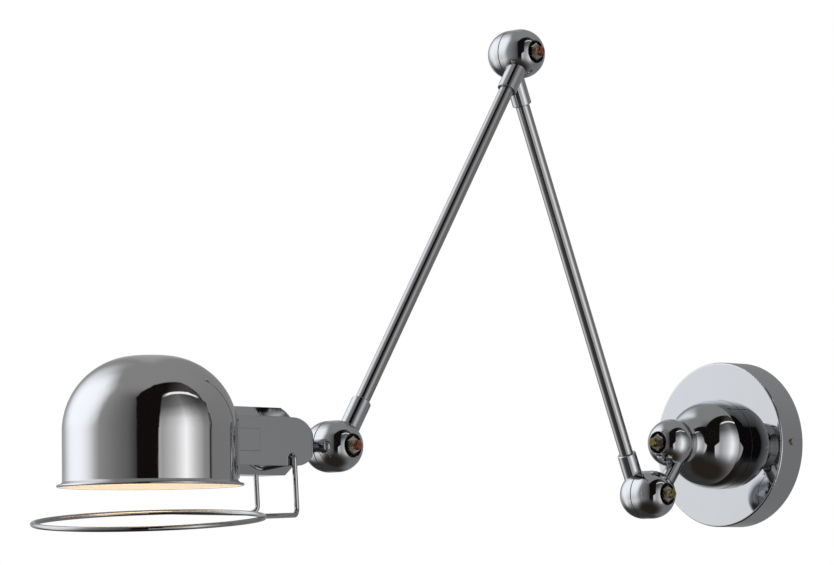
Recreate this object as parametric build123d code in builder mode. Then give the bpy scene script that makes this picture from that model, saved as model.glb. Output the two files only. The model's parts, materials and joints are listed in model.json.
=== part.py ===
from build123d import *
import os
from math import acos, cos, radians, sin, sqrt, tan

# Swing arm wall sconce, in millimetres. The origin is the middle of the rose's back face on the
# wall. +Z is up, the wall is on the +Y side, the lamp reaches out along -Y, and the nuts of the
# arm joints face +X.

# Wall rose, the deep round pan on the wall
rose_radius = 72.0
rose_depth = 28.0
rose_wall = 1.2
rose_edge = 1.4
rose_wire_hole = 8.0

# Wall bracket behind the rose
bracket_width = 30.0
bracket_thickness = 2.0
bracket_gap = 2.6
ear_height = 21.0
slot_spacing = 70.0
slot_length = 12.0
slot_width = 4.6
cable_hole_radius = 10.0
side_screw_out = 14.0
side_screw_radius = 1.9
side_screw_head_radius = 2.9
side_screw_head_height = 1.6
side_screw_length = 7.5
screw_gap = 0.3
terminal_width = 18.0
terminal_depth = 12.0
terminal_height = 20.0
terminal_x = -53.0
terminal_screw_radius = 1.7
terminal_pitch = 6.0
earth_screw_x = 20.0
earth_screw_radius = 2.0
earth_head_radius = 4.0
earth_head_height = 2.6

# Bell-shaped foot
foot_radius = 38.7
foot_band = 9.0
foot_wall = 3.5
dome_end_radius = 24.0
neck_radius = 17.5
neck_inner_radius = 13.0
neck_start = 48.0
groove_radius = 16.8
groove_height = 53.0
foot_face_band = 2.1
foot_front_wall = 6.0
foot_screw_circle = 30.5
foot_boss_radius = 5.3
foot_boss_height = 14.0
foot_screw_radius = 2.0
foot_screw_depth = 10.0
foot_head_radius = 3.8
foot_head_height = 2.4
foot_screws = 3
grommet_wall = 2.0
grommet_flange = 2.5
grommet_flange_height = 1.5
wire_radius = 3.0

# Ball joints: two half shells on one through bolt
ball_radius = 20.7
ball_wall = 2.6
near_skirt = 6.2
far_skirt = 3.0
front_skirt = 3.0
seam_gap = 0.8
hub_radius = 7.0
recess_radius = 9.4
recess_depth = 8.0
recess_floor = 3.0
recess_bevel = 0.7
bolt_radius = 4.0
bolt_gap = 0.3
bolt_tip = 6.0
bolt_tip_bevel = 1.1
bolt_head_radius = 6.6
bolt_head_height = 4.5
bolt_socket_width = 6.0
bolt_socket_depth = 3.0
washer_radius = 8.9
washer_thickness = 1.5
nut_width = 13.0
nut_thickness = 7.5
nut_bevel = 0.9
disc_radius = 12.0

# Arms
tube_radius = 6.0
tube_wall = 1.0
socket_radius = 8.2
socket_depth = 20.0
socket_edge = 0.6
near_offset = 10.0
far_offset = 8.8
arm_length = 400.0
shoulder_out = 112.7
shoulder_up = -44.7
lower_lean = 23.0
upper_lean = 33.2
shoulder_reach = 38.5
elbow_far_reach = 44.0
elbow_near_reach = 39.5
head_reach = 43.3
passage_start = 12.0

# Knuckle link between the base ball and the shoulder ball
link_radius = 6.6
link_x = 5.0
link_slope = 39.7
link_start = 13.0
link_length = 30.0

# Lamp body, placed from the head ball
body_half_width = 20.0
body_back = 29.0
body_front = 114.0
body_corner = 4.0
nose_upper = 24.0
nose_lower = 20.0
body_bottom = -16.5
body_top = 21.5
body_wall = 2.5
body_back_wall = 8.0
body_inner_corner = 4.0
body_inner_upper_round = 10.0
body_inner_lower_round = 5.0
cover_height = 7.5
cover_slope = 42.0
cover_corner = 4.0
plate_width = 24.0
plate_height = 17.0
plate_front = 113.0
plate_centre_up = 3.0
plate_thickness = 0.8
spigot_radius = 7.0
spigot_gap = 0.1
spigot_nut_radius = 9.0
spigot_nut_thickness = 3.0

# Shade
shade_gap = 3.2
shade_radius = 67.4
shade_wall = 1.2
shade_height = 99.4
shade_crown = 58.0
rim_down = 33.3
rim_flare = 3.4
rim_flare_height = 3.0
bead_radius = 1.1
flange_half_width = 24.0
flange_top = 31.0
flange_bottom = -27.5
flange_corner = 17.0
lamp_up = 2.5

# Lampholder and bulb
holder_radius = 14.0
holder_start = 84.0
holder_end = 137.0
holder_depth = 24.0
holder_ring_radius = 17.0
holder_ring_height = 5.0
holder_gap = 0.25
cap_radius = 7.0
cap_length = 22.0
cap_outside = 2.0
bulb_radius = 22.5
bulb_neck_radius = 10.0
bulb_length = 68.0
bulb_shoulder = 40.0
shade_screw_spacing = 41.6
shade_screw_radius = 1.9
shade_screw_head_radius = 3.0
shade_screw_head_height = 2.0
shade_screw_length = 6.5

# Wire guard
guard_wire = 2.0
guard_margin = 17.5
guard_ahead = 2.0
guard_up = -60.0
guard_pitch = 4.5
guard_roll = 3.3
pivot_out = 54.5
pivot_up = -8.6
leg_gap = 0.6
leg_foot_out = 52.0
leg_foot_up = -54.0
leg_join = 55.0
leg_bend = 6.0
pivot_bend = 2.6
pivot_gap = 0.05
pivot_inside = 1.0

# Places worked out from the sizes above
X_AXIS = Vector(1, 0, 0)
OUTWARD = Vector(0, -1, 0)
UP = Vector(0, 0, 1)
seam_x = -near_offset
near_x = 0.0
far_x = seam_x - far_offset
inner_ball = ball_radius - ball_wall
pocket_wall = recess_radius + ball_wall
ball_rise = sqrt(ball_radius**2 - recess_radius**2)
bolt_hole = bolt_radius + bolt_gap
seam_half = seam_gap / 2
rose_front = rose_depth
foot_height = groove_height + ball_radius - groove_radius + foot_face_band
base_seam = rose_front + foot_height
shade_out = body_front + shade_gap + shade_radius
rim_radius = shade_radius + rim_flare
guard_radius = rim_radius + guard_margin
guard_out = shade_out + guard_ahead


def place(x, out, up):
    """A point given by its side, its distance from the wall and its height."""
    return Vector(x, -out, up)


def arm_vector(lean, rise):
    """Unit vector in the arms' plane, leaning out from the vertical by lean degrees."""
    return Vector(0, -sin(radians(lean)), rise * cos(radians(lean)))


lower_direction = arm_vector(lower_lean, 1)
upper_direction = arm_vector(upper_lean, -1)
base_centre = place(0, base_seam, 0)
shoulder = place(seam_x, shoulder_out, shoulder_up)
elbow = shoulder + lower_direction * arm_length
head = elbow + upper_direction * arm_length
head_out = -head.Y
head_up = head.Z

os.makedirs("parts", exist_ok=True)


def save(piece, name):
    """Labels a finished piece and writes it as its own STEP file."""
    piece.label = name
    export_step(piece, f"parts/{name}.step")


def recess_floor_height(skirt):
    """Distance from the seam to the floor of the nut recess."""
    return skirt + ball_rise - recess_depth


def radial_plane(centre, outward):
    """Plane through a joint's bolt axis: local X is radial and local Y runs along the bolt."""
    radial = UP if abs(outward.Z) < 0.5 else X_AXIS
    return Plane(origin=centre, x_dir=radial, z_dir=radial.cross(outward))


def ball_body(centre, outward, skirt):
    """Outside of one half shell as a full solid: a short skirt and a half ball."""
    with BuildPart() as body:
        with BuildSketch(radial_plane(centre, outward)):
            with BuildLine():
                Polyline(
                    (0, skirt + ball_radius),
                    (0, seam_half),
                    (ball_radius, seam_half),
                    (ball_radius, skirt),
                )
                ThreePointArc(
                    (ball_radius, skirt),
                    (ball_radius * cos(radians(45)), skirt + ball_radius * sin(radians(45))),
                    (0, skirt + ball_radius),
                )
            make_face()
        revolve(axis=Axis(centre, outward))
    return body.part


def ball_void(centre, outward, skirt):
    """What a half shell leaves empty: the wiring space, the nut recess and the bolt hole."""
    floor = recess_floor_height(skirt)
    roof = floor - recess_floor
    pocket_rise = skirt + sqrt(inner_ball**2 - pocket_wall**2)
    half_turn = acos(pocket_wall / inner_ball) / 2
    mouth = skirt + ball_rise
    beyond = skirt + 2 * ball_radius
    with BuildPart() as void:
        with BuildSketch(radial_plane(centre, outward)):
            with BuildLine():
                Polyline(
                    (inner_ball, skirt),
                    (inner_ball, 0),
                    (hub_radius, 0),
                    (hub_radius, roof),
                    (pocket_wall, roof),
                    (pocket_wall, pocket_rise),
                )
                ThreePointArc(
                    (pocket_wall, pocket_rise),
                    (inner_ball * cos(half_turn), skirt + inner_ball * sin(half_turn)),
                    (inner_ball, skirt),
                )
            make_face()
            with BuildLine():
                Polyline(
                    (0, 0),
                    (bolt_hole, 0),
                    (bolt_hole, floor),
                    (recess_radius, floor),
                    (recess_radius, mouth - recess_bevel),
                    (recess_radius + 2 * recess_bevel, mouth + recess_bevel),
                    (recess_radius + 2 * recess_bevel, beyond),
                    (0, beyond),
                    close=True,
                )
            make_face()
        revolve(axis=Axis(centre, outward))
    return void.part


def socket_shell(centre, outward, skirt, offset, direction, reach):
    """Half shell with a socket for an arm tube, square to the bolt."""
    root = centre + outward * offset
    with BuildPart() as shell:
        add(ball_body(centre, outward, skirt))
        with BuildSketch(Plane(origin=root, z_dir=direction)):
            Circle(socket_radius)
        extrude(amount=reach)
        chamfer(shell.faces().sort_by(Axis(root, direction))[-1].edges(), socket_edge)
        add(ball_void(centre, outward, skirt), mode=Mode.SUBTRACT)
        with BuildSketch(Plane(origin=root + direction * reach, z_dir=-direction)):
            Circle(tube_radius)
        extrude(amount=socket_depth, mode=Mode.SUBTRACT)
        with BuildSketch(Plane(origin=root + direction * passage_start, z_dir=direction)):
            Circle(wire_radius)
        extrude(amount=reach - passage_start, mode=Mode.SUBTRACT)
    return shell.part


def arm_tube(root, direction, length, start_reach, end_reach):
    """Arm tube that bottoms in the sockets at both of its ends."""
    start = start_reach - socket_depth
    end = length - end_reach + socket_depth
    with BuildPart() as tube:
        with BuildSketch(Plane(origin=root + direction * start, z_dir=direction)):
            Circle(tube_radius)
            Circle(tube_radius - tube_wall, mode=Mode.SUBTRACT)
        extrude(amount=end - start)
    return tube.part


def joint_fasteners(name, centre, outward, skirt, head_seat, recessed_head=True):
    """Through bolt, nut, recess washer and friction disc of one ball joint."""
    floor = recess_floor_height(skirt)
    tip = floor + washer_thickness + nut_thickness + bolt_tip
    with BuildPart() as bolt:
        with BuildSketch(Plane(origin=centre - outward * head_seat, z_dir=outward)):
            Circle(bolt_radius)
        extrude(amount=head_seat + tip)
        chamfer(bolt.faces().sort_by(Axis(centre, outward))[-1].edges(), bolt_tip_bevel)
        with BuildSketch(Plane(origin=centre - outward * head_seat, z_dir=-outward)):
            Circle(bolt_head_radius)
        extrude(amount=bolt_head_height)
        if recessed_head:
            chamfer(bolt.faces().sort_by(Axis(centre, outward))[0].edges(), bolt_tip_bevel)
            end = centre - outward * (head_seat + bolt_head_height)
            with BuildSketch(Plane(origin=end, z_dir=outward)):
                RegularPolygon(bolt_socket_width / 2, 6, major_radius=False)
            extrude(amount=bolt_socket_depth, mode=Mode.SUBTRACT)
    save(bolt.part, f"{name}_bolt")

    with BuildPart() as washer:
        with BuildSketch(Plane(origin=centre + outward * floor, z_dir=outward)):
            Circle(washer_radius)
            Circle(bolt_hole, mode=Mode.SUBTRACT)
        extrude(amount=washer_thickness)
    save(washer.part, f"{name}_washer")

    with BuildPart() as nut:
        with BuildSketch(Plane(origin=centre + outward * (floor + washer_thickness), z_dir=outward)):
            RegularPolygon(nut_width / 2, 6, major_radius=False)
        extrude(amount=nut_thickness)
        chamfer(nut.faces().sort_by(Axis(centre, outward))[-1].edges(), nut_bevel)
        with BuildSketch(Plane(origin=centre + outward * floor, z_dir=outward)):
            Circle(bolt_radius)
        extrude(amount=washer_thickness + nut_thickness, mode=Mode.SUBTRACT)
    save(nut.part, f"{name}_nut")

    with BuildPart() as disc:
        with BuildSketch(Plane(origin=centre - outward * seam_half, z_dir=outward)):
            Circle(disc_radius)
            Circle(bolt_hole, mode=Mode.SUBTRACT)
        extrude(amount=seam_gap)
    save(disc.part, f"{name}_friction_disc")


# Wall rose: a pan that is open towards the wall
with BuildPart() as wall_rose:
    with BuildSketch(Plane.XZ):
        Circle(rose_radius)
    extrude(amount=rose_depth)
    fillet(wall_rose.faces().sort_by(Axis.Y)[0].edges(), rose_edge)
    with BuildSketch(Plane.XZ):
        Circle(rose_radius - rose_wall)
    extrude(amount=rose_depth - rose_wall, mode=Mode.SUBTRACT)
    with BuildSketch(Plane.XZ.offset(rose_depth)):
        Circle(rose_wire_hole)
        with PolarLocations(foot_screw_circle, foot_screws, start_angle=90):
            Circle(foot_screw_radius + screw_gap)
    extrude(amount=-2 * rose_wall, mode=Mode.SUBTRACT)
    with BuildSketch(Plane.YZ.offset(-rose_radius)):
        with Locations((-side_screw_out, 0)):
            Circle(side_screw_radius + screw_gap)
    extrude(amount=2 * rose_radius, mode=Mode.SUBTRACT)
save(wall_rose.part, "wall_rose")

# Wall bracket: a strap with slots for the wall screws and ears for the side screws
ear_outside = rose_radius - rose_wall - bracket_gap
with BuildPart() as wall_bracket:
    with BuildSketch(Plane.XZ):
        Rectangle(2 * ear_outside, bracket_width)
        with Locations((-slot_spacing / 2, 0), (slot_spacing / 2, 0)):
            SlotOverall(slot_length, slot_width, mode=Mode.SUBTRACT)
        Circle(cable_hole_radius, mode=Mode.SUBTRACT)
        with Locations((earth_screw_x, 0)):
            Circle(earth_screw_radius, mode=Mode.SUBTRACT)
    extrude(amount=bracket_thickness)
    for side in (-1, 1):
        with BuildSketch(Plane.YZ.offset(side * ear_outside)):
            with Locations((-ear_height / 2, 0)):
                Rectangle(ear_height, bracket_width)
            with Locations((-side_screw_out, 0)):
                Circle(side_screw_radius, mode=Mode.SUBTRACT)
        extrude(amount=-side * bracket_thickness)
save(wall_bracket.part, "wall_bracket")

# Two brass side screws hold the rose on the bracket's ears
with BuildPart() as side_screws:
    for side in (-1, 1):
        with BuildSketch(Plane.YZ.offset(side * rose_radius)):
            with Locations((-side_screw_out, 0)):
                Circle(side_screw_radius)
        extrude(amount=-side * side_screw_length)
        with BuildSketch(Plane.YZ.offset(side * rose_radius)):
            with Locations((-side_screw_out, 0)):
                Circle(side_screw_head_radius)
        extrude(amount=side * side_screw_head_height)
save(side_screws.part, "rose_side_screws")

# Terminal block with three clamp screws, and the earth screw
with BuildPart() as terminal_block:
    with BuildSketch(Plane.XZ.offset(bracket_thickness)):
        with Locations((terminal_x, 0)):
            Rectangle(terminal_width, terminal_height)
    extrude(amount=terminal_depth)
    with BuildSketch(Plane.XZ.offset(bracket_thickness + terminal_depth)):
        with Locations((terminal_x, 0)):
            with GridLocations(0, terminal_pitch, 1, 3):
                Circle(terminal_screw_radius)
    extrude(amount=-terminal_depth / 2, mode=Mode.SUBTRACT)
save(terminal_block.part, "terminal_block")

with BuildPart() as terminal_screws:
    with BuildSketch(Plane.XZ.offset(bracket_thickness + terminal_depth / 2)):
        with Locations((terminal_x, 0)):
            with GridLocations(0, terminal_pitch, 1, 3):
                Circle(terminal_screw_radius)
    extrude(amount=terminal_depth / 2 - 1)
save(terminal_screws.part, "terminal_screws")

with BuildPart() as earth_screw:
    with BuildSketch(Plane.XZ):
        with Locations((earth_screw_x, 0)):
            Circle(earth_screw_radius)
    extrude(amount=bracket_thickness)
    with BuildSketch(Plane.XZ.offset(bracket_thickness)):
        with Locations((earth_screw_x, 0)):
            Circle(earth_head_radius)
    extrude(amount=earth_head_height)
save(earth_screw.part, "earth_screw")

# Rubber grommet where the wires pass from the rose into the foot
with BuildPart() as wire_grommet:
    with BuildSketch(Plane.XZ.offset(rose_depth - rose_wall)):
        Circle(rose_wire_hole)
    extrude(amount=rose_wall)
    with BuildSketch(Plane.XZ.offset(rose_depth - rose_wall)):
        Circle(rose_wire_hole + grommet_flange)
    extrude(amount=-grommet_flange_height)
    with BuildSketch(Plane.XZ.offset(rose_depth)):
        Circle(rose_wire_hole - grommet_wall)
    extrude(amount=-rose_wall - grommet_flange_height, mode=Mode.SUBTRACT)
save(wire_grommet.part, "wire_grommet")

# Foot: a band, a round dome and a neck that ends in the rear face of the base joint
foot_axis = Axis((0, 0, 0), (0, -1, 0))
foot_plane = Plane(origin=place(0, rose_front, 0), x_dir=(0, 0, 1), z_dir=UP.cross(OUTWARD))
dome_end_height = foot_band + sqrt(foot_radius**2 - dome_end_radius**2)
dome_half_angle = acos(dome_end_radius / foot_radius) / 2
hollow_radius = foot_radius - foot_wall
hollow_end_height = foot_band + sqrt(hollow_radius**2 - dome_end_radius**2)
hollow_half_angle = acos(dome_end_radius / hollow_radius) / 2
inner_top = foot_height - foot_front_wall
with BuildPart() as bell_foot:
    with BuildSketch(foot_plane):
        with BuildLine():
            Polyline((0, 0), (foot_radius, 0), (foot_radius, foot_band))
            dome = ThreePointArc(
                (foot_radius, foot_band),
                (foot_radius * cos(dome_half_angle), foot_band + foot_radius * sin(dome_half_angle)),
                (dome_end_radius, dome_end_height),
            )
            TangentArc(dome @ 1, (neck_radius, neck_start), tangent=dome % 1)
            Polyline(
                (neck_radius, neck_start),
                (groove_radius, groove_height),
                (ball_radius, groove_height + ball_radius - groove_radius),
                (ball_radius, foot_height - seam_half),
                (0, foot_height - seam_half),
                (0, 0),
            )
        make_face()
    revolve(axis=foot_axis)
    with BuildSketch(foot_plane):
        with BuildLine():
            Polyline((0, 0), (hollow_radius, 0), (hollow_radius, foot_band))
            ThreePointArc(
                (hollow_radius, foot_band),
                (hollow_radius * cos(hollow_half_angle), foot_band + hollow_radius * sin(hollow_half_angle)),
                (dome_end_radius, hollow_end_height),
            )
            Polyline(
                (dome_end_radius, hollow_end_height),
                (neck_inner_radius, neck_start - foot_wall),
                (neck_inner_radius, inner_top),
                (0, inner_top),
                (0, 0),
            )
        make_face()
    revolve(axis=foot_axis, mode=Mode.SUBTRACT)
    with BuildSketch(Plane.XZ.offset(rose_front)):
        with PolarLocations(foot_screw_circle, foot_screws, start_angle=90):
            Circle(foot_boss_radius)
    extrude(amount=foot_boss_height)
    with BuildSketch(Plane.XZ.offset(rose_front)):
        with PolarLocations(foot_screw_circle, foot_screws, start_angle=90):
            Circle(foot_screw_radius)
    extrude(amount=foot_screw_depth, mode=Mode.SUBTRACT)
    with BuildSketch(Plane.XZ.offset(base_seam)):
        Circle(bolt_hole)
        with Locations((0, neck_inner_radius - wire_radius)):
            Circle(wire_radius)
    extrude(amount=-2 * foot_front_wall, mode=Mode.SUBTRACT)
save(bell_foot.part, "bell_foot")

with BuildPart() as foot_screw_set:
    with BuildSketch(Plane.XZ.offset(rose_front - rose_wall)):
        with PolarLocations(foot_screw_circle, foot_screws, start_angle=90):
            Circle(foot_screw_radius)
    extrude(amount=rose_wall + foot_screw_depth - 1)
    with BuildSketch(Plane.XZ.offset(rose_front - rose_wall)):
        with PolarLocations(foot_screw_circle, foot_screws, start_angle=90):
            Circle(foot_head_radius)
    extrude(amount=-foot_head_height)
save(foot_screw_set.part, "foot_screws")

# Double knuckle: front half of the base joint and near half of the shoulder joint, cast as one
link_direction = Vector(0, sin(radians(link_slope)), cos(radians(link_slope)))
link_root = place(link_x, shoulder_out, shoulder_up)
with BuildPart() as double_knuckle:
    add(ball_body(base_centre, OUTWARD, front_skirt))
    add(ball_body(shoulder, X_AXIS, near_skirt))
    with BuildSketch(Plane(origin=link_root + link_direction * link_start, z_dir=link_direction)):
        Circle(link_radius)
    extrude(amount=link_length)
    with BuildSketch(Plane.XZ.offset(base_seam + seam_half)):
        Circle(2 * ball_radius)
    extrude(amount=-ball_radius, mode=Mode.SUBTRACT)
    add(ball_void(base_centre, OUTWARD, front_skirt), mode=Mode.SUBTRACT)
    add(ball_void(shoulder, X_AXIS, near_skirt), mode=Mode.SUBTRACT)
    with BuildSketch(Plane(origin=link_root + link_direction * link_start, z_dir=link_direction)):
        Circle(wire_radius)
    extrude(amount=link_length - link_start, mode=Mode.SUBTRACT)
save(double_knuckle.part, "double_knuckle")

# Half shells that hold the arm tubes
arm_shells = {
    "shoulder_far_shell": (shoulder, -X_AXIS, far_skirt, far_offset, lower_direction, shoulder_reach),
    "elbow_far_shell": (elbow, -X_AXIS, far_skirt, far_offset, -lower_direction, elbow_far_reach),
    "elbow_near_shell": (elbow, X_AXIS, near_skirt, near_offset, upper_direction, elbow_near_reach),
    "head_near_shell": (head, X_AXIS, near_skirt, near_offset, -upper_direction, head_reach),
}
for shell_name, shell_values in arm_shells.items():
    save(socket_shell(*shell_values), shell_name)

# Arm tubes
lower_root = place(far_x, shoulder_out, shoulder_up)
upper_root = place(near_x, -elbow.Y, elbow.Z)
save(arm_tube(lower_root, lower_direction, arm_length, shoulder_reach, elbow_far_reach), "lower_arm_tube")
save(arm_tube(upper_root, upper_direction, arm_length, elbow_near_reach, head_reach), "upper_arm_tube")

# Bolts, nuts, washers and friction discs
joint_fasteners("base", base_centre, OUTWARD, front_skirt, foot_front_wall, recessed_head=False)
for joint_name, joint_centre in (("shoulder", shoulder), ("elbow", elbow), ("head", head)):
    joint_fasteners(joint_name, joint_centre, X_AXIS, near_skirt, recess_floor_height(far_skirt))


# Lamp head. Its pieces are placed from the head joint, in the plane of the far half shells.
def head_plane(out):
    """Plane across the lamp body at a distance out from the head joint. Local Y is up."""
    return Plane(origin=place(far_x, head_out + out, head_up), x_dir=UP.cross(OUTWARD), z_dir=OUTWARD)


def plan_plane(up):
    """Level plane at a height above the head joint. Local X is to the side, local Y points out."""
    return Plane(origin=place(far_x, head_out, head_up + up), x_dir=(-1, 0, 0), z_dir=(0, 0, 1))


side_plane = Plane(origin=place(far_x, head_out, head_up), x_dir=(0, -1, 0), z_dir=(-1, 0, 0))
rim_centre = place(far_x, head_out + shade_out, head_up - rim_down)
shade_axis = Axis(rim_centre, UP)
shade_plane = Plane(origin=rim_centre, x_dir=(1, 0, 0), z_dir=(0, -1, 0))


def plan_outline(back, corner, half_width):
    """Plan of the lamp body: straight sides and a back with two large round corners."""
    length = shade_out - back
    with BuildSketch(Plane.XY) as outline:
        with Locations((0, back + length / 2)):
            Rectangle(2 * half_width, length)
        fillet(outline.vertices().group_by(Axis.Y)[0], corner)
    return outline.sketch


def shade_profile(inset):
    """Half section of the shade from its axis, drawn inset inside the outer surface."""
    crown = shade_crown - inset
    side = shade_radius - inset
    top = shade_height - inset
    crown_x = shade_radius - shade_crown
    crown_y = shade_height - shade_crown
    with BuildSketch(Plane.XY) as profile:
        with BuildLine():
            Polyline(
                (0, top),
                (0, 0),
                (rim_radius - inset, 0),
                (side, rim_flare_height),
                (side, crown_y),
            )
            ThreePointArc(
                (side, crown_y),
                (crown_x + crown * cos(radians(45)), crown_y + crown * sin(radians(45))),
                (crown_x, top),
            )
            Line((crown_x, top), (0, top))
        make_face()
    return profile.sketch


with BuildPart() as shade_solid:
    with BuildSketch(shade_plane):
        add(shade_profile(0))
    revolve(axis=shade_axis)

# Shade: a spun dome with a rolled bead round its rim
with BuildPart() as shade:
    with BuildSketch(shade_plane):
        add(shade_profile(0))
        add(shade_profile(shade_wall), mode=Mode.SUBTRACT)
        with Locations((rim_radius, 0)):
            Circle(bead_radius)
    revolve(axis=shade_axis)
    with BuildSketch(head_plane(body_front)):
        with Locations((0, lamp_up)):
            Circle(holder_radius + holder_gap)
        with GridLocations(shade_screw_spacing, 0, 2, 1):
            Circle(shade_screw_radius + screw_gap)
    extrude(amount=shade_radius / 2, mode=Mode.SUBTRACT)
save(shade.part, "shade")

# Flange between the lamp body and the shade, shaped to the shade's outside
flange_middle = (flange_top + flange_bottom) / 2
with BuildPart() as shade_flange:
    with BuildSketch(head_plane(body_front)):
        with Locations((0, flange_middle)):
            Rectangle(2 * flange_half_width, flange_top - flange_bottom)
    extrude(amount=shade_radius / 3)
    fillet(shade_flange.edges().filter_by(Axis.Y).group_by(Axis.Z)[-1], flange_corner)
    with BuildSketch(head_plane(body_front)):
        with Locations((0, lamp_up)):
            Circle(holder_radius + holder_gap)
        with GridLocations(shade_screw_spacing, 0, 2, 1):
            Circle(shade_screw_radius)
    extrude(amount=shade_radius / 3, mode=Mode.SUBTRACT)
    add(shade_solid.part, mode=Mode.SUBTRACT)
save(shade_flange.part, "shade_flange")


# Lamp body: a box whose back is a round nose seen from the side, open at the flange
with BuildPart() as body_hollow:
    with BuildSketch(plan_plane(body_bottom + body_wall)):
        add(plan_outline(body_back + body_back_wall, body_inner_corner, body_half_width - body_wall))
    extrude(amount=body_top - body_bottom - 2 * body_wall)
    hollow_back = body_back + body_back_wall
    hollow_bottom = body_bottom + body_wall
    hollow_top = body_top - body_wall
    with BuildSketch(side_plane) as hollow_side:
        with Locations(((hollow_back + body_front) / 2, (hollow_top + hollow_bottom) / 2)):
            Rectangle(body_front - hollow_back, hollow_top - hollow_bottom)
        rear_corners = hollow_side.vertices().group_by(Axis.X)[0].sort_by(Axis.Y)
        fillet(rear_corners[-1], body_inner_upper_round)
        rear_corners = hollow_side.vertices().group_by(Axis.Y)[0].sort_by(Axis.X)
        fillet(rear_corners[0], body_inner_lower_round)
    extrude(amount=body_half_width, both=True, mode=Mode.INTERSECT)

with BuildPart() as lamp_body:
    with BuildSketch(plan_plane(body_bottom)):
        add(plan_outline(body_back, body_corner, body_half_width))
    extrude(amount=body_top - body_bottom)
    with BuildSketch(side_plane):
        with BuildLine():
            upper_middle = (body_back + nose_upper, 0)
            lower_middle = (body_back + nose_lower, 0)
            upper = EllipticalCenterArc(upper_middle, nose_upper, body_top, 90, arc_size=90)
            lower = EllipticalCenterArc(lower_middle, nose_lower, -body_bottom, 180, arc_size=90)
            Polyline(lower @ 1, (body_front, body_bottom), (body_front, body_top), upper @ 0)
        make_face()
    extrude(amount=body_half_width, both=True, mode=Mode.INTERSECT)
    add(body_hollow.part, mode=Mode.SUBTRACT)
    with BuildSketch(head_plane(body_back)):
        Circle(spigot_radius + spigot_gap)
    extrude(amount=body_back_wall, mode=Mode.SUBTRACT)
    with BuildSketch(side_plane):
        with Locations((pivot_out, pivot_up)):
            Circle(guard_wire + pivot_gap)
    extrude(amount=body_half_width, both=True, mode=Mode.SUBTRACT)
save(lamp_body.part, "lamp_body")


def body_cover(base_up, rise, back):
    """Cover with sloping sides on the top or the bottom of the lamp body."""
    with BuildPart() as cover:
        with BuildSketch(plan_plane(base_up)):
            add(plan_outline(back, cover_corner, body_half_width))
        extrude(amount=rise * cover_height, taper=cover_slope)
        with BuildSketch(head_plane(body_front)):
            Rectangle(4 * body_half_width, 4 * body_half_width)
        extrude(amount=shade_out, mode=Mode.SUBTRACT)
    return cover.part


save(body_cover(body_top, 1, body_back + nose_upper), "body_top_cover")
save(body_cover(body_bottom, -1, body_back + nose_lower), "body_bottom_cover")

# Blank raised plate on the near side of the body
with BuildPart() as blank_plate:
    with BuildSketch(side_plane.offset(-body_half_width)):
        with Locations((plate_front - plate_width / 2, plate_centre_up)):
            Rectangle(plate_width, plate_height)
    extrude(amount=-plate_thickness)
save(blank_plate.part, "blank_side_plate")

# Far half of the head joint, with the neck and the threaded spigot that hold the lamp body
neck_root = head - X_AXIS * far_offset
spigot_end = body_back + body_back_wall + spigot_nut_thickness
with BuildPart() as head_far_shell:
    add(ball_body(head, -X_AXIS, far_skirt))
    with BuildSketch(Plane(origin=neck_root, z_dir=OUTWARD)):
        Circle(socket_radius)
    extrude(amount=body_back)
    with BuildSketch(Plane(origin=neck_root, z_dir=OUTWARD)):
        Circle(spigot_radius)
    extrude(amount=spigot_end)
    add(ball_void(head, -X_AXIS, far_skirt), mode=Mode.SUBTRACT)
    with BuildSketch(Plane(origin=neck_root + OUTWARD * passage_start, z_dir=OUTWARD)):
        Circle(wire_radius)
    extrude(amount=spigot_end - passage_start, mode=Mode.SUBTRACT)
save(head_far_shell.part, "head_far_shell")

with BuildPart() as neck_nut:
    with BuildSketch(head_plane(body_back + body_back_wall)):
        RegularPolygon(spigot_nut_radius, 6)
        Circle(spigot_radius, mode=Mode.SUBTRACT)
    extrude(amount=spigot_nut_thickness)
save(neck_nut.part, "neck_nut")

# Lampholder with its clamp ring inside the shade
with BuildPart() as lampholder:
    with BuildSketch(head_plane(holder_start)):
        with Locations((0, lamp_up)):
            Circle(holder_radius)
    extrude(amount=holder_end - holder_start)
    with BuildSketch(head_plane(holder_end)):
        with Locations((0, lamp_up)):
            Circle(cap_radius + holder_gap)
    extrude(amount=-holder_depth, mode=Mode.SUBTRACT)
save(lampholder.part, "lampholder")


def inside_wall(side):
    """Distance out to the shade's inner wall, a given distance to the side of its middle."""
    return shade_out - sqrt((shade_radius - shade_wall) ** 2 - side**2) + holder_gap


with BuildPart() as holder_ring:
    with BuildSketch(head_plane(inside_wall(holder_ring_radius))):
        with Locations((0, lamp_up)):
            Circle(holder_ring_radius)
            Circle(holder_radius, mode=Mode.SUBTRACT)
    extrude(amount=holder_ring_height)
save(holder_ring.part, "lampholder_ring")

with BuildPart() as shade_screws:
    seat = inside_wall(shade_screw_spacing / 2 + shade_screw_head_radius)
    with BuildSketch(head_plane(seat)):
        with GridLocations(shade_screw_spacing, 0, 2, 1):
            Circle(shade_screw_radius)
    extrude(amount=-shade_screw_length)
    with BuildSketch(head_plane(seat)):
        with GridLocations(shade_screw_spacing, 0, 2, 1):
            Circle(shade_screw_head_radius)
    extrude(amount=shade_screw_head_height)
save(shade_screws.part, "shade_screws")

# Bulb: screw cap and round glass
glass_start = holder_end + cap_outside
with BuildPart() as bulb_cap:
    with BuildSketch(head_plane(glass_start)):
        with Locations((0, lamp_up)):
            Circle(cap_radius)
    extrude(amount=-cap_length)
save(bulb_cap.part, "bulb_cap")

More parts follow.
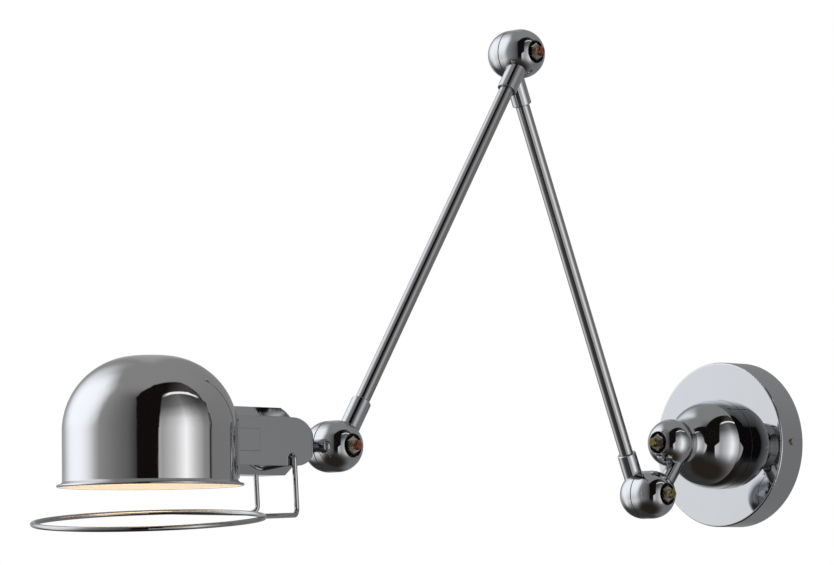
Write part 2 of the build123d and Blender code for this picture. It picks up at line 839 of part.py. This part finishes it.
bulb_start = place(far_x, head_out + glass_start, head_up + lamp_up)
bulb_plane = Plane(origin=bulb_start, x_dir=UP, z_dir=UP.cross(OUTWARD))
ball_middle = bulb_length - bulb_radius
with BuildPart() as bulb_glass:
    with BuildSketch(bulb_plane):
        with BuildLine():
            Polyline(
                (0, bulb_length),
                (0, 0),
                (bulb_neck_radius, 0),
                (
                    bulb_radius * cos(radians(bulb_shoulder)),
                    ball_middle - bulb_radius * sin(radians(bulb_shoulder)),
                ),
            )
            ThreePointArc(
                (
                    bulb_radius * cos(radians(bulb_shoulder)),
                    ball_middle - bulb_radius * sin(radians(bulb_shoulder)),
                ),
                (bulb_radius, ball_middle),
                (0, bulb_length),
            )
        make_face()
    revolve(axis=Axis(bulb_start, OUTWARD))
save(bulb_glass.part, "bulb_glass")

# Wire guard: a ring that tilts forward and leans a little to the near side, on two bent legs
roll_slope = tan(radians(guard_roll))
pitch_slope = tan(radians(guard_pitch))
ring_centre = place(far_x, head_out + guard_out, head_up + guard_up)
with BuildPart() as guard_ring:
    with Locations(Plane(origin=ring_centre, z_dir=(roll_slope, -pitch_slope, 1))):
        Torus(guard_radius, guard_wire)
save(guard_ring.part, "guard_ring")


def guard_point(side, out, up):
    """Point of the guard, from the head joint in the lamp body's middle plane."""
    return place(far_x + side, head_out + out, head_up + up)


leg_side = body_half_width + guard_wire + leg_gap
wire_end = body_half_width - body_wall - pivot_inside
join_back = sqrt(guard_radius**2 - leg_join**2)
with BuildPart() as guard_legs:
    for side in (-1, 1):
        with BuildLine() as leg_path:
            FilletPolyline(
                guard_point(side * wire_end, pivot_out, pivot_up),
                guard_point(side * leg_side, pivot_out, pivot_up),
                guard_point(side * leg_side, leg_foot_out, leg_foot_up - side * leg_side * roll_slope),
                guard_point(
                    side * leg_join,
                    guard_out - join_back,
                    guard_up - side * leg_join * roll_slope + join_back * pitch_slope,
                ),
                radius=[pivot_bend, leg_bend],
            )
        with BuildSketch(Plane(origin=leg_path.line @ 0, z_dir=leg_path.line % 0)):
            Circle(guard_wire)
        sweep(path=leg_path.line)
save(guard_legs.part, "guard_legs")
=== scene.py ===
import bpy
import json
from math import cos, radians, sin, tau
from mathutils import Euler, Matrix, Vector


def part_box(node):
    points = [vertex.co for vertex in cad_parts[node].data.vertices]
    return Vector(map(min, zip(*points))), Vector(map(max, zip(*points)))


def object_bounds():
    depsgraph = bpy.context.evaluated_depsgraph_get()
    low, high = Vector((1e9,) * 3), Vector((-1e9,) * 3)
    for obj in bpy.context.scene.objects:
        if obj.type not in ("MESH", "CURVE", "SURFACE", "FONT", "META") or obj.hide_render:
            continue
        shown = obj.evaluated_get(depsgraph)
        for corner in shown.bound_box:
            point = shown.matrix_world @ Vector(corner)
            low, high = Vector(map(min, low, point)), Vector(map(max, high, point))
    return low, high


# Swing arm wall lamp, in metres. +Z is up, the wall is on the +Y side, the lamp reaches out along
# -Y, and the nuts of the arm joints face +X.

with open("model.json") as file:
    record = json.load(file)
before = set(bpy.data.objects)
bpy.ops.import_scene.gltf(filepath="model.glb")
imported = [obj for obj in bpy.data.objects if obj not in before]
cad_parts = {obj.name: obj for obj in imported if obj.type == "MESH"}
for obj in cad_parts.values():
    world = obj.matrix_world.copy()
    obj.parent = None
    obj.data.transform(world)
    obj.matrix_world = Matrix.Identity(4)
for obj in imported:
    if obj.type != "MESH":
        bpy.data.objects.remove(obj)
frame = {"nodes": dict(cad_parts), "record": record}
cad_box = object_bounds()
record = frame["record"]
nodes = frame["nodes"]
bpy.ops.object.select_all(action="DESELECT")

# Camera
CAMERA_PLACE = (2.2896, -2.7013, -0.1506)
CAMERA_TURN = radians(44.85)
CAMERA_TILT = radians(4.83)
CAMERA_ROLL = radians(-0.75)
CAMERA_LENS = 173.0
CAMERA_SENSOR = 36.0
CAMERA_REACH = 100.0

# Floor, and how far it lies under the lamp's lowest point
FLOOR_DROP = 0.28
FLOOR_SIZE = 14.0

# Soft light: its place from the middle of the lamp, its size and its power
LIGHT_AHEAD = 1.6
LIGHT_LEFT = 0.9
LIGHT_ABOVE = 1.5
LIGHT_WIDTH = 1.2
LIGHT_HEIGHT = 1.0
LIGHT_POWER = 9.0

# The mirrored room is brighter by one over this, to make up for the light that chrome soaks up
CHROME_SHINE = 0.58

# Glow of the lit bulb, and painted light on the enamel round it, which glows as if lit by the bulb
BULB_GLOW = 3.0
ENAMEL_PAINTED_GLOW = 0.16

# Sizes of the spun shade, which tell its inner skin from its outer one
SHADE_RADIUS = 0.0674
SHADE_CROWN = 0.058
SHADE_SKIN = 0.0012
SHADE_BEAD = 0.0011
SHADE_FLARE = 0.003
SHADE_FLARE_OUT = 0.0034

# Threads, and the wave texture's scale that gives one ring to the metre
BOLT_PITCH = 0.00125
CAP_PITCH = 0.0028
ONE_RING = tau / 20.0

# How far from a bolt's free end its colour shows: all of it up to the first, none past the second
BOLT_COLOUR_FULL = 0.0046
BOLT_COLOUR_GONE = 0.0054


# ---------------------------------------------------------------- small helpers

def srgb(*display):
    """Display values from 0 to 1 as the linear colour that the shaders use."""
    linear = [v / 12.92 if v <= 0.04045 else ((v + 0.055) / 1.055) ** 2.4 for v in display]
    return (*linear, 1.0)


def grey(level):
    """A neutral display grey."""
    return srgb(level, level, level)


class Tree:
    """Adds and links the nodes of one shader tree."""

    def __init__(self, tree):
        self.tree = tree
        self.tree.nodes.clear()

    def add(self, kind, **settings):
        node = self.tree.nodes.new(kind)
        for name, value in settings.items():
            setattr(node, name, value)
        return node

    def link(self, source, target):
        self.tree.links.new(source, target)

    def feed(self, socket, value):
        """Sets a socket to a value, or links another socket to it."""
        if isinstance(value, bpy.types.NodeSocket):
            self.link(value, socket)
        else:
            socket.default_value = value

    def math(self, operation, first, second=0.0, third=0.0, clamp=False):
        node = self.add("ShaderNodeMath", operation=operation, use_clamp=clamp)
        for socket, value in zip(node.inputs, (first, second, third)):
            self.feed(socket, value)
        return node.outputs[0]

    def dot(self, vector, direction):
        node = self.add("ShaderNodeVectorMath", operation="DOT_PRODUCT")
        self.feed(node.inputs[0], vector)
        self.feed(node.inputs[1], direction)
        return node.outputs["Value"]

    def spread(self, value, low, high, to_low=0.0, to_high=1.0, shape="SMOOTHSTEP"):
        """Maps low..high onto to_low..to_high, held at the ends."""
        node = self.add("ShaderNodeMapRange", interpolation_type=shape)
        self.feed(node.inputs["Value"], value)
        self.feed(node.inputs["From Min"], low)
        self.feed(node.inputs["From Max"], high)
        self.feed(node.inputs["To Min"], to_low)
        self.feed(node.inputs["To Max"], to_high)
        return node.outputs["Result"]

    def mix(self, share, first, second, blend="MIX"):
        node = self.add("ShaderNodeMix", data_type="RGBA", blend_type=blend)
        self.feed(node.inputs["Factor"], share)
        self.feed(node.inputs[6], first)
        self.feed(node.inputs[7], second)
        return node.outputs[2]

    def ramp(self, value, stops, shape="LINEAR"):
        """A colour ramp with the given (place, colour) stops."""
        node = self.add("ShaderNodeValToRGB")
        node.color_ramp.interpolation = shape
        elements = node.color_ramp.elements
        while len(elements) < len(stops):
            elements.new(1.0)
        for element, (place, colour) in zip(elements, stops):
            element.position = place
            element.color = colour
        self.feed(node.inputs["Fac"], value)
        return node.outputs["Color"]


# ---------------------------------------------------------------- studio

def forward_and_side():
    """Level directions from the lamp to the camera, and to the camera's right."""
    forward = Vector((sin(CAMERA_TURN), -cos(CAMERA_TURN), 0.0))
    side = Vector((cos(CAMERA_TURN), sin(CAMERA_TURN), 0.0))
    return forward, side


def turned_way(turn, rise):
    """Direction that lies turn degrees to the right of the camera and rise degrees up."""
    forward, side = forward_and_side()
    level = forward * cos(radians(turn)) + side * sin(radians(turn))
    return level * cos(radians(rise)) + Vector((0.0, 0.0, sin(radians(rise))))


class Ray:
    """Where a mirrored ray goes: how far ahead (towards the camera), right and up, and its place on
    a ramp that runs once round the lamp."""

    def __init__(self, t):
        forward, side = forward_and_side()
        self.way = t.add("ShaderNodeTexCoord").outputs["Generated"]
        self.ahead = t.dot(self.way, forward)
        self.right = t.dot(self.way, side)
        self.up = t.dot(self.way, (0.0, 0.0, 1.0))
        turn = t.math("ARCTAN2", self.right, self.ahead)
        self.place = t.math("MULTIPLY_ADD", turn, 1.0 / tau, 0.5)
        self.in_front = t.spread(self.ahead, -0.03, 0.01)


def at(angle, level):
    """A ramp stop of that grey, angle degrees to the right of the camera."""
    return (angle / 360.0 + 0.5, grey(level))


def room_walls(t, ray):
    """What stands round the lamp at its own height, the ceiling, and the left soft box."""
    walls = t.ramp(ray.place, [
        at(-180, 0.60), at(-166, 0.48), at(-150, 0.58), at(-132, 0.52), at(-118, 0.80),
        at(-106, 0.90), at(-92, 0.82), at(-78, 0.72), at(-66, 0.52), at(-44, 0.43), at(-24, 0.34),
        at(-13, 0.20), at(60, 0.30), at(89, 0.24), at(90, 0.05), at(93, 0.05), at(95, 0.44),
        at(150, 0.45), at(180, 0.60)])
    ceiling = t.ramp(ray.up, [
        (0.0, grey(0.44)), (0.45, grey(0.46)), (0.8, grey(0.49)), (1.0, grey(0.50))])
    room = t.mix(t.spread(ray.up, 0.72, 0.93), walls, ceiling)
    behind_right = t.math("MULTIPLY", t.spread(ray.ahead, -0.02, -0.06), t.spread(ray.right, -0.10, 0.10))
    room = t.mix(behind_right, room, ceiling)
    left_box = t.dot(ray.way, turned_way(-112.0, 24.0))
    return t.mix(t.spread(left_box, 0.72, 1.0), room, srgb(0.955, 0.965, 0.99))


def dark_gap(t, ray, room):
    """Adds the dark gap by the camera, which turns grey towards the right."""
    across = t.math("MULTIPLY_ADD", ray.right, 0.9, ray.ahead)
    gap = t.math("MULTIPLY", t.spread(ray.right, -0.25, -0.21), t.spread(across, 0.40, 0.45))
    gap = t.math("MULTIPLY", gap, ray.in_front)
    near_black = srgb(0.065, 0.05, 0.05)
    dark_grey = srgb(0.26, 0.24, 0.24)
    return t.mix(gap, room, t.mix(t.spread(ray.right, 0.30, 0.62), near_black, dark_grey))


def right_box(t, ray, room):
    """Adds the soft box right of the gap, dimmer towards its top, with a bright strip high on its side."""
    gap_end = t.spread(ray.up, -0.15, 0.10, 0.05, 0.27)
    past_gap = t.math("SUBTRACT", ray.right, gap_end)
    box_line = t.math("MULTIPLY_ADD", ray.right, 1.1, ray.ahead)
    box = t.math("MULTIPLY", t.spread(past_gap, 0.0, 0.03), t.spread(box_line, 0.87, 0.90))
    box = t.math("MULTIPLY", box, ray.in_front)
    box_level = t.ramp(ray.place, [
        at(0, 0.80), at(20, 0.60), at(36, 0.76), at(52, 0.97), at(66, 0.74), at(80, 0.52),
        at(90, 0.47)])
    box_height = t.ramp(ray.up, [
        (0.0, grey(1.0)), (0.25, grey(0.92)), (0.55, grey(0.50)), (0.8, grey(0.34))])
    room = t.mix(box, room, t.mix(1.0, box_level, box_height, "MULTIPLY"))
    edge = t.math("MULTIPLY", t.spread(box_line, 0.86, 0.88), t.spread(box_line, 0.95, 0.92))
    edge = t.math("MULTIPLY", edge, t.spread(ray.up, 0.60, 0.68))
    edge = t.math("MULTIPLY", edge, t.spread(ray.right, 0.28, 0.40))
    edge = t.math("MULTIPLY", edge, ray.in_front)
    return t.mix(edge, room, grey(0.93))


def table_below(t, ray, room):
    """Adds the table under the lamp, with two darker patches on it."""
    table = t.mix(t.spread(ray.right, -0.3, 0.4), grey(0.29), grey(0.43))
    room = t.mix(t.spread(ray.up, -0.30, -0.80), room, table)
    near_patch = t.dot(ray.way, turned_way(-45.0, -74.0))
    room = t.mix(t.spread(near_patch, 0.54, 0.94), room, srgb(0.15, 0.13, 0.11))
    far_patch = t.dot(ray.way, turned_way(-157.0, -41.0))
    return t.mix(t.spread(far_patch, 0.80, 0.96), room, grey(0.20))


def build_studio():
    """The room that shiny pieces mirror: a dark gap by the camera, a soft box each side, grey
    walls and ceiling, and a table below. Only glossy rays see it, and all others see plain white."""
    world = bpy.data.worlds.new("studio")
    bpy.context.scene.world = world
    world.use_nodes = True
    t = Tree(world.node_tree)
    ray = Ray(t)
    room = room_walls(t, ray)
    room = dark_gap(t, ray, room)
    room = right_box(t, ray, room)
    room = table_below(t, ray, room)
    glow = t.add("ShaderNodeBackground")
    t.feed(glow.inputs["Color"], room)
    glow.inputs["Strength"].default_value = 1.0 / CHROME_SHINE
    plain = t.add("ShaderNodeBackground")
    plain.inputs["Color"].default_value = (1.0, 1.0, 1.0, 1.0)
    mirrored = t.add("ShaderNodeLightPath").outputs["Is Glossy Ray"]
    both = t.add("ShaderNodeMixShader")
    t.feed(both.inputs[0], mirrored)
    t.link(plain.outputs[0], both.inputs[1])
    t.link(glow.outputs[0], both.inputs[2])
    t.link(both.outputs[0], t.add("ShaderNodeOutputWorld").inputs["Surface"])


def build_floor():
    """A plain pale floor, well under the lamp."""
    low, high = cad_box
    bpy.ops.mesh.primitive_plane_add(size=FLOOR_SIZE, location=(0, 0, low.z - FLOOR_DROP))
    floor = bpy.context.object
    floor.name = "studio_floor"
    pale = bpy.data.materials.new("pale_floor")
    pale.use_nodes = True
    paint = pale.node_tree.nodes["Principled BSDF"]
    paint.inputs["Base Color"].default_value = grey(0.93)
    paint.inputs["Roughness"].default_value = 0.7
    floor.data.materials.append(pale)
    floor.visible_glossy = False


def build_lights():
    """One large soft light from above and in front, for the parts that aren't polished."""
    low, high = cad_box
    centre = (low + high) / 2
    forward, side = forward_and_side()
    place = centre + forward * LIGHT_AHEAD - side * LIGHT_LEFT + Vector((0, 0, LIGHT_ABOVE))
    bpy.ops.object.light_add(type="AREA", location=place)
    light = bpy.context.object
    light.name = "soft_light"
    light.data.shape = "RECTANGLE"
    light.data.size = LIGHT_WIDTH
    light.data.size_y = LIGHT_HEIGHT
    light.data.energy = LIGHT_POWER
    light.rotation_euler = (centre - place).to_track_quat("-Z", "Y").to_euler()
    light.visible_glossy = False
    light.visible_camera = False


def build_camera():
    """The camera, a little lower than the lamp and looking slightly up at it."""
    data = bpy.data.cameras.new("camera")
    camera = bpy.data.objects.new("camera", data)
    bpy.context.scene.collection.objects.link(camera)
    data.sensor_width = CAMERA_SENSOR
    data.lens = CAMERA_LENS
    data.clip_end = CAMERA_REACH
    turned = Euler((radians(90.0) + CAMERA_TILT, 0.0, CAMERA_TURN)).to_matrix()
    rolled = turned @ Matrix.Rotation(CAMERA_ROLL, 3, "Z")
    camera.matrix_world = Matrix.Translation(CAMERA_PLACE) @ rolled.to_4x4()
    bpy.context.scene.camera = camera


# ---------------------------------------------------------------- materials

def effect(name, takes, gives):
    """A new node group, with its named inputs (name, default) and outputs (name, socket type)."""
    group = bpy.data.node_groups.new(name, "ShaderNodeTree")
    for socket_name, default in takes:
        kind = "NodeSocketFloat" if isinstance(default, float) else "NodeSocketVector"
        socket = group.interface.new_socket(socket_name, in_out="INPUT", socket_type=kind)
        socket.default_value = default
    for socket_name, kind in gives:
        group.interface.new_socket(socket_name, in_out="OUTPUT", socket_type=kind)
    t = Tree(group)
    return group, t, t.add("NodeGroupInput"), t.add("NodeGroupOutput")


def noise(t, where, scale, detail=3.0, roughness=0.5):
    node = t.add("ShaderNodeTexNoise")
    t.feed(node.inputs["Vector"], where)
    t.feed(node.inputs["Scale"], scale)
    node.inputs["Detail"].default_value = detail
    node.inputs["Roughness"].default_value = roughness
    return node.outputs["Fac"]


def build_smudges():
    """Faint cloudy smears, as hands and cloths leave on polish."""
    group, t, takes, gives = effect(
        "smudges", [("Vector", (0.0, 0.0, 0.0)), ("Scale", 30.0), ("Amount", 1.0)],
        [("Mask", "NodeSocketFloat")])
    cloud = noise(t, takes.outputs["Vector"], takes.outputs["Scale"], 4.0, 0.6)
    patch = t.spread(cloud, 0.48, 0.72)
    t.feed(gives.inputs["Mask"], t.math("MULTIPLY", patch, takes.outputs["Amount"]))
    return group


def build_hairlines():
    """Fine scratches, all running along one direction of the vector that is given."""
    group, t, takes, gives = effect(
        "hairlines", [("Vector", (0.0, 0.0, 0.0)), ("Stretch", (1.0, 1.0, 1.0)), ("Scale", 900.0)],
        [("Height", "NodeSocketFloat")])
    stretched = t.add("ShaderNodeVectorMath", operation="MULTIPLY")
    t.feed(stretched.inputs[0], takes.outputs["Vector"])
    t.feed(stretched.inputs[1], takes.outputs["Stretch"])
    lines = noise(t, stretched.outputs[0], takes.outputs["Scale"], 2.0, 0.5)
    t.feed(gives.inputs["Height"], lines)
    return group


def build_worn_edges():
    """Where a piece has corners that rub."""
    group, t, takes, gives = effect(
        "worn_edges", [("Vector", (0.0, 0.0, 0.0)), ("Width", 0.0006), ("Scale", 500.0)],
        [("Mask", "NodeSocketFloat")])
    bevel = t.add("ShaderNodeBevel", samples=4)
    t.feed(bevel.inputs["Radius"], takes.outputs["Width"])
    normal = t.add("ShaderNodeNewGeometry").outputs["Normal"]
    turned = t.dot(bevel.outputs["Normal"], normal)
    edge = t.spread(turned, 0.995, 0.90)
    broken = t.spread(noise(t, takes.outputs["Vector"], takes.outputs["Scale"]), 0.35, 0.60)
    t.feed(gives.inputs["Mask"], t.math("MULTIPLY", edge, broken))
    return group


def build_crevice_shade():
    """Painted shade and grime: an occlusion mask, high in the seams, corners and gaps between pieces."""
    group, t, takes, gives = effect(
        "crevice_shade", [("Vector", (0.0, 0.0, 0.0)), ("Reach", 0.002), ("Scale", 300.0)],
        [("Mask", "NodeSocketFloat")])
    open_sky = t.add("ShaderNodeAmbientOcclusion", samples=6)
    t.feed(open_sky.inputs["Distance"], takes.outputs["Reach"])
    # The mask rises where ambient occlusion finds the surface shut in, which is where shade falls.
    shut = t.spread(open_sky.outputs["AO"], 0.80, 0.25)
    uneven = t.spread(noise(t, takes.outputs["Vector"], takes.outputs["Scale"]), 0.2, 0.7, 0.55, 1.0)
    t.feed(gives.inputs["Mask"], t.math("MULTIPLY", shut, uneven))
    return group


SMUDGES = build_smudges()
HAIRLINES = build_hairlines()
WORN_EDGES = build_worn_edges()
CREVICE_SHADE = build_crevice_shade()


class Finish:
    """One material: a shader, its tree, and the object coordinates that its patterns follow."""

    def __init__(self, name, colour, rough, metal):
        self.material = bpy.data.materials.new(name)
        self.material.use_nodes = True
        self.t = Tree(self.material.node_tree)
        self.shader = self.t.add("ShaderNodeBsdfPrincipled")
        out = self.t.add("ShaderNodeOutputMaterial")
        self.t.link(self.shader.outputs["BSDF"], out.inputs["Surface"])
        self.where = self.t.add("ShaderNodeTexCoord").outputs["Object"]
        self.set("Base Color", colour)
        self.set("Roughness", rough)
        self.set("Metallic", metal)

    def set(self, name, value):
        self.t.feed(self.shader.inputs[name], value)

    def effect(self, group, output, **values):
        node = self.t.add("ShaderNodeGroup", node_tree=group)
        self.t.link(self.where, node.inputs["Vector"])
        for name, value in values.items():
            self.t.feed(node.inputs[name], value)
        return node.outputs[output]

    def noise(self, scale, detail=3.0, roughness=0.5, where=None):
        return noise(self.t, where or self.where, scale, detail, roughness)

    def bump(self, height, distance, strength=1.0, after=None):
        node = self.t.add("ShaderNodeBump")
        node.inputs["Strength"].default_value = strength
        node.inputs["Distance"].default_value = distance
        self.t.feed(node.inputs["Height"], height)
        if after is not None:
            self.t.link(after, node.inputs["Normal"])
        self.set("Normal", node.outputs["Normal"])
        return node.outputs["Normal"]


def chrome(name, tint, wave=0.00005, wave_scale=45.0, smear=0.06):
    """Bright nickel-chrome plate: nearly a mirror, with soft waves and smears in its polish, edges that
    the buffing wheel has rounded, and in the seams painted shade (a near-black colour) with grime (a
    rougher polish)."""
    f = Finish(name, tint, 0.03, 1.0)
    t = f.t
    smears = f.effect(SMUDGES, "Mask", Scale=38.0, Amount=1.0)
    grime_and_shade = f.effect(CREVICE_SHADE, "Mask", Reach=0.0016, Scale=260.0)
    # Painted shade: the colour goes near black where the occlusion mask finds seams and gaps.
    f.set("Base Color", t.mix(grime_and_shade, tint, srgb(0.10, 0.085, 0.075)))
    polish = t.spread(smears, 0.0, 1.0, 0.022, smear, "LINEAR")
    f.set("Roughness", t.math("MULTIPLY_ADD", grime_and_shade, 0.25, polish))
    buffed = t.add("ShaderNodeBevel", samples=4)
    buffed.inputs["Radius"].default_value = 0.0005
    f.bump(f.noise(wave_scale, 1.0), wave, 1.0, after=buffed.outputs["Normal"])
    return f


def polished_chrome():
    return chrome("polished_chrome", srgb(0.75, 0.755, 0.765)).material


def tube_chrome():
    return chrome("tube_chrome", srgb(0.70, 0.70, 0.705), 0.00003, 60.0, 0.05).material


def nut_steel():
    f = Finish("nut_steel", srgb(0.80, 0.77, 0.72), 0.16, 1.0)
    worn = f.effect(WORN_EDGES, "Mask", Width=0.0006, Scale=700.0)
    stain = f.t.spread(f.noise(300.0, 4.0), 0.48, 0.74)
    base = f.t.mix(stain, srgb(0.82, 0.79, 0.75), srgb(0.42, 0.33, 0.24))
    f.set("Base Color", f.t.mix(worn, base, srgb(0.92, 0.90, 0.87)))
    f.set("Roughness", f.t.spread(stain, 0.0, 1.0, 0.12, 0.34, "LINEAR"))
    f.bump(f.noise(1500.0, 2.0), 0.00003, 0.5)
    return f.material


def bolt_ends(name):
    """Middles of the free ends of the bolts that have this material slot."""
    ends = []
    for part in record["subparts"]:
        if part["material_slot"] == name and part["node"].endswith("_bolt"):
            low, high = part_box(part["node"])
            end = (low + high) / 2
            if part["node"] == "base_bolt":
                end.y = low.y
            else:
                end.x = high.x
            ends.append(end)
    return ends


def threaded(name, bright, dull):
    """A steel bolt, coloured only at its free end, with thread rings across X."""
    f = Finish(name, bright, 0.3, 1.0)
    t = f.t
    worn = f.effect(WORN_EDGES, "Mask", Width=0.0004, Scale=900.0)
    tarnish = t.spread(f.noise(420.0, 3.0), 0.35, 0.75)
    steel = 1.0
    for end in bolt_ends(name):
        gap = t.add("ShaderNodeVectorMath", operation="DISTANCE")
        t.link(f.where, gap.inputs[0])
        gap.inputs[1].default_value = end
        far = t.spread(gap.outputs["Value"], BOLT_COLOUR_FULL, BOLT_COLOUR_GONE)
        steel = t.math("MULTIPLY", steel, far)
    base = t.mix(tarnish, bright, dull)
    base = t.mix(worn, base, bright)
    f.set("Base Color", t.mix(steel, base, srgb(0.74, 0.71, 0.66)))
    f.set("Roughness", t.spread(tarnish, 0.0, 1.0, 0.24, 0.42, "LINEAR"))
    rings = t.add("ShaderNodeTexWave", wave_type="BANDS", bands_direction="X")
    rings.inputs["Scale"].default_value = ONE_RING / BOLT_PITCH
    t.link(f.where, rings.inputs["Vector"])
    f.bump(rings.outputs["Fac"], 0.00010, 0.5)
    return f.material


def brass():
    return threaded("brass", srgb(0.66, 0.61, 0.38), srgb(0.38, 0.36, 0.21))


def copper():
    return threaded("copper", srgb(0.70, 0.44, 0.36), srgb(0.50, 0.27, 0.21))


def black_washer():
    f = Finish("black_washer", grey(0.10), 0.4, 0.0)
    worn = f.effect(WORN_EDGES, "Mask", Width=0.0004, Scale=800.0)
    f.set("Base Color", f.t.mix(worn, grey(0.06), grey(0.30)))
    f.set("Roughness", f.t.spread(f.noise(500.0), 0.3, 0.7, 0.30, 0.50))
    f.bump(f.noise(2200.0), 0.00003, 0.5)
    return f.material


def friction_fibre():
    f = Finish("friction_fibre", grey(0.12), 0.7, 0.0)
    f.set("Base Color", f.t.mix(f.noise(1800.0, 4.0), grey(0.05), grey(0.16)))
    f.bump(f.noise(2600.0), 0.00005, 0.7)
    return f.material


def zinc_steel():
    f = Finish("zinc_steel", grey(0.78), 0.35, 1.0)
    spangle = f.t.add("ShaderNodeTexVoronoi", feature="F1")
    spangle.inputs["Scale"].default_value = 260.0
    f.t.link(f.where, spangle.inputs["Vector"])
    tone = f.t.spread(f.t.dot(spangle.outputs["Color"], (0.33, 0.33, 0.33)), 0.1, 0.9)
    f.set("Base Color", f.t.mix(tone, srgb(0.70, 0.71, 0.72), srgb(0.86, 0.86, 0.84)))
    f.set("Roughness", f.t.spread(tone, 0.0, 1.0, 0.28, 0.46, "LINEAR"))
    f.bump(f.effect(HAIRLINES, "Height", Stretch=(0.05, 1.0, 1.0), Scale=900.0), 0.00003, 0.5)
    return f.material


def moulded(name, light, dark, rough, grain=900.0):
    """Moulded plastic or fired clay with a fine skin."""
    f = Finish(name, light, rough, 0.0)
    f.set("Base Color", f.t.mix(f.t.spread(f.noise(160.0, 3.0), 0.3, 0.7), light, dark))
    f.set("Roughness", f.t.spread(f.noise(300.0), 0.3, 0.7, rough * 0.8, rough * 1.25))
    f.bump(f.noise(grain, 2.0), 0.00003, 0.5)
    return f.material


def terminal_plastic():
    return moulded("terminal_plastic", srgb(0.90, 0.89, 0.85), srgb(0.84, 0.82, 0.76), 0.42)


def rubber():
    return moulded("rubber", grey(0.14), grey(0.09), 0.65, 1400.0)


def holder_ceramic():
    return moulded("holder_ceramic", srgb(0.93, 0.92, 0.88), srgb(0.87, 0.84, 0.77), 0.25, 700.0)


def cap_metal():
    f = Finish("cap_metal", grey(0.80), 0.25, 1.0)
    f.set("Base Color", f.t.mix(f.noise(300.0, 3.0), srgb(0.82, 0.81, 0.78), srgb(0.66, 0.64, 0.60)))
    rings = f.t.add("ShaderNodeTexWave", wave_type="BANDS", bands_direction="Y")
    rings.inputs["Scale"].default_value = ONE_RING / CAP_PITCH
    f.t.link(f.where, rings.inputs["Vector"])
    f.bump(rings.outputs["Fac"], 0.0004, 0.9)
    return f.material


def bulb_frosted():
    """A lit bulb: frosted glass, glowing palest in the middle of its globe and warmer by the cap."""
    f = Finish("bulb_frosted", srgb(1.0, 0.96, 0.88), 0.35, 0.0)
    low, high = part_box("bulb_glass")
    centre = Vector(((low.x + high.x) / 2, low.y + (high.x - low.x) / 2, (low.z + high.z) / 2))
    gap = f.t.add("ShaderNodeVectorMath", operation="DISTANCE")
    f.t.link(f.where, gap.inputs[0])
    gap.inputs[1].default_value = centre
    heat = f.t.spread(gap.outputs["Value"], 0.020, 0.050)
    f.set("Emission Color", f.t.mix(heat, srgb(1.0, 0.90, 0.70), srgb(0.95, 0.70, 0.42)))
    f.shader.inputs["Emission Strength"].default_value = BULB_GLOW
    f.bump(f.noise(1200.0), 0.00002, 0.5)
    return f.material


def shade_chrome():
    """The shade: polished chrome outside, warm white enamel inside that glows with painted light from the
    bulb.
    """
    f = chrome("shade_chrome", srgb(0.78, 0.78, 0.785), 0.00010, 26.0)
    t = f.t
    inside = shade_inside_mask(f)
    speckle = f.noise(700.0, 2.0)
    enamel = t.mix(speckle, srgb(0.97, 0.93, 0.86), srgb(0.93, 0.88, 0.79))
    plate = f.shader.inputs["Base Color"].links[0].from_socket
    rough = f.shader.inputs["Roughness"].links[0].from_socket
    f.set("Base Color", t.mix(inside, plate, enamel))
    f.set("Metallic", t.math("SUBTRACT", 1.0, inside))
    f.set("Roughness", t.math("MULTIPLY_ADD", inside, 0.30, rough))
    # Painted light: the inner enamel glows warm cream, standing in for the bulb's light falling on it.
    f.set("Emission Color", t.mix(inside, (0.0, 0.0, 0.0, 1.0), srgb(0.93, 0.74, 0.52)))
    f.shader.inputs["Emission Strength"].default_value = ENAMEL_PAINTED_GLOW
    return f.material


def shade_inside_mask(f):
    """1 on the shade's inner skin: nearer the axis than the middle of the spun wall."""
    low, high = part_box("shade")
    axis_x, axis_y = (low.x + high.x) / 2, (low.y + high.y) / 2
    t = f.t
    parts = t.add("ShaderNodeSeparateXYZ")
    t.link(f.where, parts.inputs[0])
    across = t.math("SUBTRACT", parts.outputs["X"], axis_x)
    along = t.math("SUBTRACT", parts.outputs["Y"], axis_y)
    round_axis = t.math("ADD", t.math("MULTIPLY", across, across), t.math("MULTIPLY", along, along))
    radius = t.math("SQRT", round_axis)
    spring = high.z - SHADE_CROWN
    rise = t.math("MAXIMUM", t.math("SUBTRACT", parts.outputs["Z"], spring), 0.0)
    flat = t.math("MAXIMUM", t.math("SUBTRACT", radius, SHADE_RADIUS - SHADE_CROWN), 0.0)
    arc = t.math("SQRT", t.math("ADD", t.math("MULTIPLY", flat, flat), t.math("MULTIPLY", rise, rise)))
    rim = low.z + SHADE_BEAD
    flare = t.spread(parts.outputs["Z"], rim, rim + SHADE_FLARE, SHADE_FLARE_OUT, 0.0, "LINEAR")
    depth = t.math("SUBTRACT", t.math("ADD", flare, SHADE_CROWN), arc)
    return t.spread(depth, SHADE_SKIN * 0.4, SHADE_SKIN * 0.6, 0.0, 1.0, "LINEAR")


FINISHES = {
    "polished_chrome": polished_chrome, "tube_chrome": tube_chrome, "nut_steel": nut_steel,
    "brass": brass, "copper": copper, "black_washer": black_washer,
    "friction_fibre": friction_fibre, "zinc_steel": zinc_steel,
    "terminal_plastic": terminal_plastic, "rubber": rubber, "holder_ceramic": holder_ceramic,
    "cap_metal": cap_metal, "bulb_frosted": bulb_frosted, "shade_chrome": shade_chrome,
}


def finish_nodes():
    """Gives each CAD node the finish of its material slot."""
    made = {}
    for part in record["subparts"]:
        name = part["material_slot"]
        if name not in made:
            made[name] = FINISHES[name]()
        for slot in nodes[part["node"]].material_slots:
            slot.link = "OBJECT"
            slot.material = made[name]


# ---------------------------------------------------------------- the scene

bpy.context.scene.view_settings.view_transform = "Standard"
build_studio()
build_floor()
build_lights()
build_camera()
finish_nodes()
